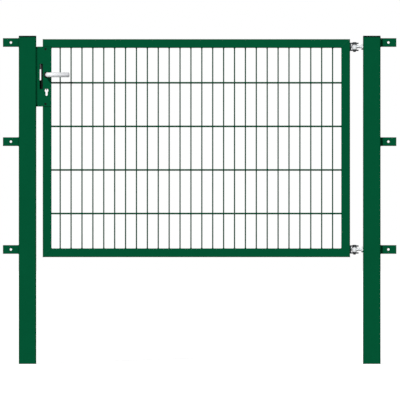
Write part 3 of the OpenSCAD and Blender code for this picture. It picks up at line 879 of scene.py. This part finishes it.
class GATE_OT_mesh(bpy.types.Operator):
    """Draw the round wires and rods of the mesh and weld them together"""

    bl_idname = "gate.mesh"
    bl_label = "Mesh"

    def execute(self, context):
        sizes = context.scene.gate_sizes
        coat = finish_named("Mesh powder coat")
        low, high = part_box("mesh_wires")
        rod_low, rod_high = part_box("mesh_rods")
        y = (low.y + high.y) / 2
        wire_r = (high.y - low.y) / 2
        rod_r = (rod_high.y - rod_low.y - 2 * wire_r) / 4
        first, last = low.x + wire_r, high.x - wire_r
        pitch, step = sizes.wire_pitch, sizes.rod_pitch
        wires = [first + pitch * i for i in range(round((last - first) / pitch) + 1)]
        bottom, top = rod_low.z + rod_r, rod_high.z - rod_r
        levels = [bottom + step * i for i in range(round((top - bottom) / step) + 1)]
        layers = (rod_low.y + rod_r, rod_high.y - rod_r)
        if len(wires) < 2 or len(levels) < 1:
            raise RuntimeError("the pitch doesn't fit the mesh")

        bm = bmesh.new()
        for x in wires:
            foot = Vector((x, y, low.z))
            turned(bm, foot, Z, [(0, wire_r), (high.z - low.z, wire_r)], sizes.wire_sides)
        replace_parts(finish_piece("upright_wires", bm, "leaf", coat), "mesh_wires")

        bm = bmesh.new()
        for z in levels:
            for layer in layers:
                foot = Vector((rod_low.x, layer, z))
                turned(bm, foot, X, [(0, rod_r), (rod_high.x - rod_low.x, rod_r)], sizes.wire_sides)
        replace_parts(finish_piece("cross_rods", bm, "leaf", coat), "mesh_rods")

        bm = bmesh.new()
        arc = [math.radians(a) for a in (-80, -45, 0, 45, 80)]
        for n, x in enumerate(wires):
            for m, z in enumerate(levels):
                for side in (-1, 1):
                    uneven = noise.noise(Vector((n * 3.1, m * 5.7, side)))
                    wide = sizes.nugget * (1 + 0.12 * uneven)
                    deep = wide * 0.62
                    profile = [(deep * math.sin(a), wide * math.cos(a)) for a in arc]
                    turned(bm, Vector((x, y + side * wire_r, z)), Y, profile, 8)
        taper = ((-0.0005, 1.5), (0.0006, 1.46), (0.0018, 1.22), (0.0034, 0.99))
        collar = [(t, wire_r * share) for t, share in taper]
        for x in wires:
            turned(bm, Vector((x, y, low.z)), Z, collar, 10)
            turned(bm, Vector((x, y, high.z)), -Z, collar, 10)
        for z in levels:
            for layer in layers:
                turned(bm, Vector((rod_low.x, layer, z)), X, collar, 10)
                turned(bm, Vector((rod_high.x, layer, z)), -X, collar, 10)
        finish_piece("mesh_welds", bm, "leaf", coat, 60)
        return {"FINISHED"}


class GATE_OT_hinges(bpy.types.Operator):
    """Turn the eye bolts, cut their threads, and fit nuts, pins and forks"""

    bl_idname = "gate.hinges"
    bl_label = "Hinges"

    def eye_bolt(self, name, sizes, zinc):
        low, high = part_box(name)
        z = (low.z + high.z) / 2
        y = (low.y + high.y) / 2
        eye_r = (high.y - low.y) / 2
        tall = high.z - low.z
        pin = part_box(name.replace("eye_bolt", "hinge_pin"))
        pin_r = (pin[1].x - pin[0].x) / 3
        pin_x = low.x + eye_r
        bm = bmesh.new()
        edge, chamfer = sizes.eye_round, 0.0006
        arc = [math.pi / 2 * k / 4 for k in range(5)]
        outer = [
            (edge * (1 - math.sin(a)), eye_r - edge * (1 - math.cos(a))) for a in reversed(arc)
        ]
        outer += [(tall - t, r) for t, r in reversed(outer)]
        bore = pin_r + 0.0001
        inner = [
            (tall, bore + chamfer), (tall - chamfer, bore), (chamfer, bore), (0, bore + chamfer),
        ]
        turned_ring(bm, Vector((pin_x, y, low.z)), Z, outer + inner, 48)

        sunk, thread_from = 0.0012, 0.0108
        shank_r = sizes.shank / 2
        plain, root = shank_r - 0.0002, shank_r - sizes.thread_depth - 0.0001
        start = Vector((pin_x + bore + sunk, y, z))
        neck = [
            (0.0, plain), (0.0090, plain), (0.0096, shank_r - 0.0010), (0.0105, root),
            (0.0112, root),
        ]
        turned(bm, start, X, neck, 32)
        start.x += thread_from
        length = high.x - start.x
        sides, steps, run_in, run_out = 32, 8, 0.0015, 0.0012
        rows = int(length / sizes.thread_pitch * steps)
        u, v = across(X)
        rings = []
        for k in range(rows + 1):
            t = length * k / rows
            lead = min(1.0, t / run_in, (length - t) / run_out + 0.05)
            radii = []
            for i in range(sides):
                phase = (t / sizes.thread_pitch - i / sides) % 1.0
                crest = min(1.0, max(0.0, 1.35 * (1 - abs(2 * phase - 1)) - 0.15))
                radii.append(shank_r - sizes.thread_depth * (1 - crest * lead))
            rings.append(ring(start + X * t, u, v, radii))
        tube_of(bm, rings)
        piece = finish_piece(f"{name}_threaded", bm, "posts", zinc, 50)
        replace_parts(piece, name)

    def nut(self, name, sizes, zinc):
        low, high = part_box(name)
        foot = Vector((low.x, (low.y + high.y) / 2, (low.z + high.z) / 2))
        half = (high.y - low.y) / 2
        thick = high.x - low.x
        flat_r = half * 0.95
        sides = 72
        angles = [2 * math.pi * i / sides for i in range(sides)]

        def hexagon(a):
            return half / math.cos((a + math.pi / 6) % (math.pi / 3) - math.pi / 6)

        corner = half / math.cos(math.pi / 6)
        slope = sizes.nut_chamfer / (corner - flat_r)
        stations = [sizes.nut_chamfer * s for s in (0.0, 0.25, 0.5, 0.75, 1.0)]
        stations += [thick - s for s in reversed(stations)]
        shank_r, mouth = sizes.shank / 2, 0.0006 + sizes.thread_depth * 0.4
        bore, flare = shank_r - sizes.thread_depth, shank_r + 0.0002
        inside = [(thick, flare), (thick - mouth, bore), (mouth, bore), (0.0, flare)]
        rings = []
        for s in stations:
            reach = flat_r + min(s, thick - s) / slope
            rings.append(ring(foot + X * s, Y, Z, [min(hexagon(a), reach) for a in angles]))
        rings += [ring(foot + X * t, Y, Z, [r] * sides) for t, r in inside]
        bm = bmesh.new()
        close_up(bm, rings)
        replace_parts(finish_piece(f"{name}_chamfered", bm, "posts", zinc, 24), name)

    def pin(self, name, zinc):
        low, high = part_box(name)
        centre = (low + high) / 2
        head_r = (high.x - low.x) / 2
        pin_r = head_r * 2 / 3
        head_t, groove = 0.0025, pin_r - 0.0008
        tall = high.z - low.z
        under, foot = tall - head_t, Vector((centre.x, centre.y, low.z))
        profile = [
            (0.0, pin_r - 0.0012), (0.0003, pin_r - 0.0009), (0.0012, pin_r), (0.0020, pin_r),
            (0.0021, groove), (0.0032, groove), (0.0033, pin_r), (under - 0.0002, pin_r),
            (under, pin_r + 0.0002), (under, head_r - 0.0002), (under + 0.0002, head_r),
            (tall - 0.0010, head_r), (tall - 0.0004, head_r - 0.0003),
            (tall - 0.0001, head_r - 0.0010), (tall, head_r - 0.0026),
        ]
        bm = bmesh.new()
        turned(bm, foot, Z, profile, 48)
        clip_in, clip_out, clip_low, clip_high = pin_r - 0.0007, pin_r + 0.0022, 0.0022, 0.0031
        clip = [
            (clip_low, clip_in), (clip_low, clip_out), (clip_high, clip_out), (clip_high, clip_in),
        ]
        turned_ring(bm, foot, Z, clip, 40)
        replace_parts(finish_piece(f"{name}_turned", bm, "leaf", zinc, 30), name)

    def execute(self, context):
        sizes = context.scene.gate_sizes
        zinc, shaded_fork_steel = finish_named("Zinc plate"), finish_named("Fork steel in painted shade")
        for level in HINGES:
            fork = f"{level}_hinge_fork"
            # Painted shade: the fork takes the near-black fork steel.
            paint_nodes([fork], shaded_fork_steel)
            soften(fork, sizes.fork_edge)
            self.eye_bolt(f"{level}_eye_bolt", sizes, zinc)
            self.nut(f"{level}_eye_bolt_nut", sizes, zinc)
            self.pin(f"{level}_hinge_pin", shaded_fork_steel)
            low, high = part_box(fork)
            web_x = low.x + sizes.fork_web
            centre = (low + high) / 2
            bm = bmesh.new()
            head = [
                (-0.001, 0.0066), (0.0004, 0.0066), (0.0014, 0.0060), (0.0022, 0.0046),
                (0.0026, 0.0028),
            ]
            turned(bm, Vector((web_x, centre.y, centre.z)), X, head, 32)
            finish_piece(f"{fork}_screw", bm, "leaf", zinc, 40)
        return {"FINISHED"}


class GATE_OT_lock(bpy.types.Operator):
    """Finish the lock, its cover plate and its screws"""

    bl_idname = "gate.lock"
    bl_label = "Lock"

    def execute(self, context):
        sizes = context.scene.gate_sizes
        paint_nodes(["lock_cover"], finish_named("Frame powder coat"))
        # Painted shade: the pad takes the black rosette plastic to stand for the shade beside the
        # lock.
        paint_nodes(["lock_pad"], finish_named("Rosette plastic"))
        # Painted shade: the lock case, bolts and spindle take a steel colour darkened to the shade
        # in the lock.
        steel = finish_named("Lock steel in painted shade")
        paint_nodes(["lock_case", "deadbolt", "latch_bolt", "spindle"], steel)
        black = finish_named("Blackened steel and painted shade")
        # Painted shade: the faceplate is made near black to stand for the shade inside the lock.
        paint_nodes(["lock_faceplate", "faceplate_screws", "cover_screws"], black)
        for name, width, segments in (
            ("lock_cover", sizes.plate_edge, 2),
            ("lock_pad", sizes.plate_edge, 2),
            ("lock_faceplate", 0.0003, 2),
            ("lock_case", 0.0006, 2),
            ("deadbolt", 0.0008, 3),
            ("latch_bolt", 0.0006, 3),
        ):
            soften(name, width, segments)
        return {"FINISHED"}


class GATE_OT_handle(bpy.types.Operator):
    """Bend the levers from round bar and mould their rosettes"""

    bl_idname = "gate.handle"
    bl_label = "Handle"

    def lever(self, name, sizes, satin):
        low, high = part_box(name)
        z = (low.z + high.z) / 2
        grip_r = (high.z - low.z) / 2
        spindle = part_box("spindle")
        axis_x = (spindle[0].x + spindle[1].x) / 2
        neck_r = axis_x - low.x
        outward = -1 if name.startswith("front") else 1
        root_y, face_y = (high.y, low.y) if outward < 0 else (low.y, high.y)
        grip_y = face_y - outward * grip_r
        bend = sizes.elbow
        heel_x = axis_x + grip_r - sizes.heel
        straight = abs(grip_y - root_y) - bend
        points = []
        steps, flare_from = 16, 0.30
        for k in range(steps + 1):
            t = k / steps
            flare = max(0.0, (t - flare_from) / (1 - flare_from))
            flare = flare * flare * (3 - 2 * flare)
            x = axis_x + (heel_x - axis_x) * flare
            centre = Vector((x, root_y + outward * straight * t, z))
            points.append((centre, Y * outward, neck_r + (grip_r - neck_r) * flare))
        steps = 18
        for k in range(1, steps + 1):
            a = math.pi / 2 * k / steps
            x = heel_x + bend * (1 - math.cos(a))
            centre = Vector((x, grip_y - outward * bend * (1 - math.sin(a)), z))
            points.append((centre, Vector((math.sin(a), outward * math.cos(a), 0)), grip_r))
        run = high.x - (heel_x + bend)
        tip = sizes.tip_round
        for k in range(1, 9):
            centre = Vector((heel_x + bend + (run - tip) * k / 8, grip_y, z))
            points.append((centre, X, grip_r))
        for k in range(1, 7):
            a = math.pi / 2 * k / 6
            centre = Vector((high.x - tip + tip * math.sin(a), grip_y, z))
            points.append((centre, X, grip_r - tip * (1 - math.cos(a))))
        crown = 0.0002
        points.append((Vector((high.x + crown, grip_y, z)), X, (grip_r - tip) * 0.5))
        rings = [
            ring(centre, axis.cross(Z).normalized(), Z, [radius] * 40)
            for centre, axis, radius in points
        ]
        bm = bmesh.new()
        tube_of(bm, rings)
        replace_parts(finish_piece(f"{name}_bent", bm, "handle", satin, 45), name)

    def rosette(self, name, plastic):
        low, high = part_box(name)
        centre = (low + high) / 2
        radius = (high.x - low.x) / 2
        front = name.startswith("front")
        foot = Vector((centre.x, high.y if front else low.y, centre.z))
        axis = -Y if front else Y
        thick = high.y - low.y
        lever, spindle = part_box(f"{name.split('_')[0]}_lever"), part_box("spindle")
        hole = (spindle[0].x + spindle[1].x) / 2 - lever[0].x + 0.0002
        groove = radius - 0.0003
        profile = [
            (0.0, hole), (0.0, radius), (0.0010, radius), (0.0012, groove), (0.0015, groove),
            (0.0017, radius),
        ]
        edge = 0.0020
        for k in range(6):
            a = math.pi / 2 * k / 5
            profile.append((thick - edge + edge * math.sin(a), radius - edge * (1 - math.cos(a))))
        profile += [(thick, hole + 0.0012), (thick - 0.0004, hole + 0.0004), (thick - 0.0012, hole)]
        bm = bmesh.new()
        turned_ring(bm, foot, axis, profile, 64)
        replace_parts(finish_piece(f"{name}_moulded", bm, "leaf", plastic, 35), name)

    def execute(self, context):
        sizes = context.scene.gate_sizes
        for side in ("front", "back"):
            self.lever(f"{side}_lever", sizes, finish_named("Satin aluminium"))
            self.rosette(f"{side}_rosette", finish_named("Rosette plastic"))
        return {"FINISHED"}


class GATE_OT_studio(bpy.types.Operator):
    """Set up the floor, the light, the white surroundings and the camera"""

    bl_idname = "gate.studio"
    bl_label = "Studio"

    def seen_directly(self, tree):
        """1 for rays from the camera and for those that gloss or glass pass on."""
        path = tree.nodes.new("ShaderNodeLightPath").outputs
        both = calc(tree, "MAXIMUM", path["Is Camera Ray"], path["Is Glossy Ray"])
        return calc(tree, "MAXIMUM", both, path["Is Transmission Ray"])

    def surroundings(self, scene, studio):
        world = bpy.data.worlds.new("Studio")
        scene.world = world
        world.use_nodes = True
        tree = world.node_tree
        tree.nodes.clear()
        fill = add(tree, "ShaderNodeBackground", (1.0, 1.0, 1.0), studio.fill)
        white = add(tree, "ShaderNodeBackground", (1.0, 1.0, 1.0), 1.0)
        mix = tree.nodes.new("ShaderNodeMixShader")
        tree.links.new(self.seen_directly(tree), mix.inputs[0])
        tree.links.new(fill.outputs[0], mix.inputs[1])
        tree.links.new(white.outputs[0], mix.inputs[2])
        out = tree.nodes.new("ShaderNodeOutputWorld")
        tree.links.new(mix.outputs[0], out.inputs["Surface"])

    def floor(self, scene, studio):
        bm = bmesh.new()
        middle = Vector((cad_low.x / 2, 0, 0))
        tube_of(bm, [circle(middle, Z, r, 64) for r in (0.5, 3, 12, 80)], capped=False)
        inner = [e for e in bm.edges if e.is_boundary and e.verts[0].co.length < 2]
        bmesh.ops.contextual_create(bm, geom=inner)
        mesh = bpy.data.meshes.new("studio_floor")
        bm.to_mesh(mesh)
        bm.free()
        floor = bpy.data.objects.new("studio_floor", mesh)
        scene.collection.objects.link(floor)
        material = bpy.data.materials.new("Pale floor")
        material.use_nodes = True
        tree = material.node_tree
        tree.nodes.clear()
        seen = self.seen_directly(tree)
        patch = cloud(tree, own_place(tree), 1.3, 3.0)
        light, dark = (studio.floor,) * 3, (studio.floor * 0.97,) * 3
        tone = blend_colours(tree, patch, light, dark)
        matte = add(tree, "ShaderNodeBsdfDiffuse", tone)
        glow = add(tree, "ShaderNodeEmission", (1.0, 1.0, 1.0))
        feed(tree, glow.inputs["Strength"], calc(tree, "MULTIPLY", seen, studio.floor_lift))
        both = tree.nodes.new("ShaderNodeAddShader")
        tree.links.new(matte.outputs[0], both.inputs[0])
        tree.links.new(glow.outputs[0], both.inputs[1])
        out = tree.nodes.new("ShaderNodeOutputMaterial")
        tree.links.new(both.outputs[0], out.inputs["Surface"])
        mesh.materials.append(material)

    def sun(self, scene, name, strength, softness, heading):
        lamp = bpy.data.lights.new(name, "SUN")
        lamp.energy = strength
        lamp.angle = softness
        light = bpy.data.objects.new(name, lamp)
        scene.collection.objects.link(light)
        light.rotation_euler = Vector(heading).to_track_quat("-Z", "Y").to_euler()
        light.location = -Vector(heading).normalized() * LAMP_AWAY

    def camera(self, scene, studio):
        data = bpy.data.cameras.new("Camera")
        data.lens = studio.lens
        data.sensor_width = 36
        distance = studio.view_width * studio.lens / data.sensor_width
        data.clip_start, data.clip_end = 0.1, distance * 4
        camera = bpy.data.objects.new("camera", data)
        scene.collection.objects.link(camera)
        posts_front = cad_low.y + LEVER_REACH
        camera.location = (studio.view_x, posts_front - distance, studio.view_z)
        camera.rotation_euler = (math.pi / 2, 0, 0)
        scene.camera = camera

    def execute(self, context):
        scene, studio = context.scene, context.scene.gate_studio
        scene.view_settings.view_transform = "Standard"
        self.surroundings(scene, studio)
        if studio.show_floor:
            self.floor(scene, studio)
        self.sun(scene, "key_light", studio.key, studio.key_softness, studio.key_heading)
        self.sun(scene, "back_light", studio.back, studio.back_softness, studio.back_heading)
        self.camera(scene, studio)
        return {"FINISHED"}


class GATE_PT_sidebar(bpy.types.Panel):
    """The gate's operators and their values"""

    bl_idname = "GATE_PT_sidebar"
    bl_label = "Garden gate"
    bl_space_type = "VIEW_3D"
    bl_region_type = "UI"
    bl_category = "Gate"

    def draw(self, context):
        layout = self.layout
        for operator in OPERATORS:
            layout.operator(operator.bl_idname)
        for name in GROUPS:
            box = layout.box()
            values = getattr(context.scene, name)
            for key in values.bl_rna.properties.keys():
                if key not in ("rna_type", "name"):
                    box.prop(values, key)


GROUPS = {
    "gate_paint": GatePaint,
    "gate_metal": GateMetal,
    "gate_sizes": GateSizes,
    "gate_studio": GateStudio,
}
OPERATORS = (
    GATE_OT_finishes,
    GATE_OT_posts,
    GATE_OT_keep,
    GATE_OT_leaf_frame,
    GATE_OT_mesh,
    GATE_OT_hinges,
    GATE_OT_lock,
    GATE_OT_handle,
    GATE_OT_studio,
)


def register():
    for group in GROUPS.values():
        bpy.utils.register_class(group)
    for name, group in GROUPS.items():
        setattr(bpy.types.Scene, name, PointerProperty(type=group))
    for operator in OPERATORS:
        bpy.utils.register_class(operator)
    bpy.utils.register_class(GATE_PT_sidebar)


def unregister():
    bpy.utils.unregister_class(GATE_PT_sidebar)
    for operator in reversed(OPERATORS):
        bpy.utils.unregister_class(operator)
    for name, group in reversed(GROUPS.items()):
        delattr(bpy.types.Scene, name)
        bpy.utils.unregister_class(group)


def main():
    register()
    bpy.ops.gate.finishes()
    bpy.ops.gate.posts()
    bpy.ops.gate.keep()
    bpy.ops.gate.leaf_frame()
    bpy.ops.gate.mesh()
    bpy.ops.gate.hinges()
    bpy.ops.gate.lock()
    bpy.ops.gate.handle()
    bpy.ops.gate.studio()


if __name__ == "__main__":
    main()
